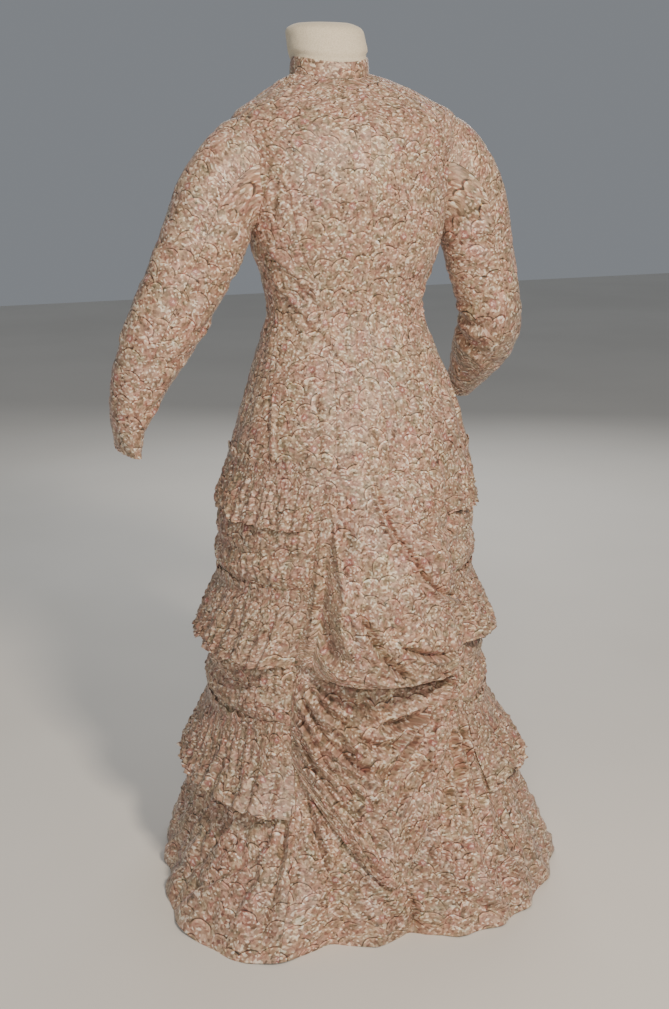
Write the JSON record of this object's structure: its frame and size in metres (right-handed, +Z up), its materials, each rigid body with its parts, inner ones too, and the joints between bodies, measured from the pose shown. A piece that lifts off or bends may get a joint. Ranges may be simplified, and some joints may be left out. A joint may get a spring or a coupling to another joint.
{
  "type": "trained bustle dress on a limbless dress form",
  "caption": "Trained bustle dress of printed cotton with princess bodice, long sleeves, gathered flounces and looped back drapery, worn on a limbless dress form with post and foot.",
  "frame": {"origin": "on the floor, at the middle of the underside of the form's round foot", "axes": "+Z up, the garment's front faces -Y, its back and train face +Y, the wearer's left is +X"},
  "size_m": [0.7955, 0.7395, 1.5141],
  "materials": {
    "printed_cotton": "plain-woven cotton with a small all-over print",
    "shirred_cotton": "the same printed cotton, gathered",
    "form_cover": "cream cotton jersey drawn over a padded form",
    "painted_metal": "satin black paint",
    "shell_button": "polished brown shell"
  },
  "bodies": {
    "root": {"form_torso": "form_cover", "form_post": "painted_metal", "form_foot": "painted_metal", "back_left": "printed_cotton", "back_right": "printed_cotton", "side_back_left": "printed_cotton", "side_back_right": "printed_cotton", "front_left": "printed_cotton", "front_right": "printed_cotton", "collar": "printed_cotton", "sleeve_left_upper": "printed_cotton", "sleeve_left_under": "printed_cotton", "sleeve_right_upper": "printed_cotton", "sleeve_right_under": "printed_cotton", "skirt_shirred": "printed_cotton", "skirt_border": "printed_cotton", "train": "printed_cotton", "flounce_upper": "shirred_cotton", "flounce_middle": "shirred_cotton", "flounce_lower": "shirred_cotton", "drape_pouf": "printed_cotton", "drape_swag": "printed_cotton", "button_01": "shell_button", "button_02": "shell_button", "button_03": "shell_button", "button_04": "shell_button", "button_05": "shell_button", "button_06": "shell_button", "button_07": "shell_button", "button_08": "shell_button", "button_09": "shell_button", "button_10": "shell_button", "button_11": "shell_button", "button_12": "shell_button"}
  },
  "joints": []
}
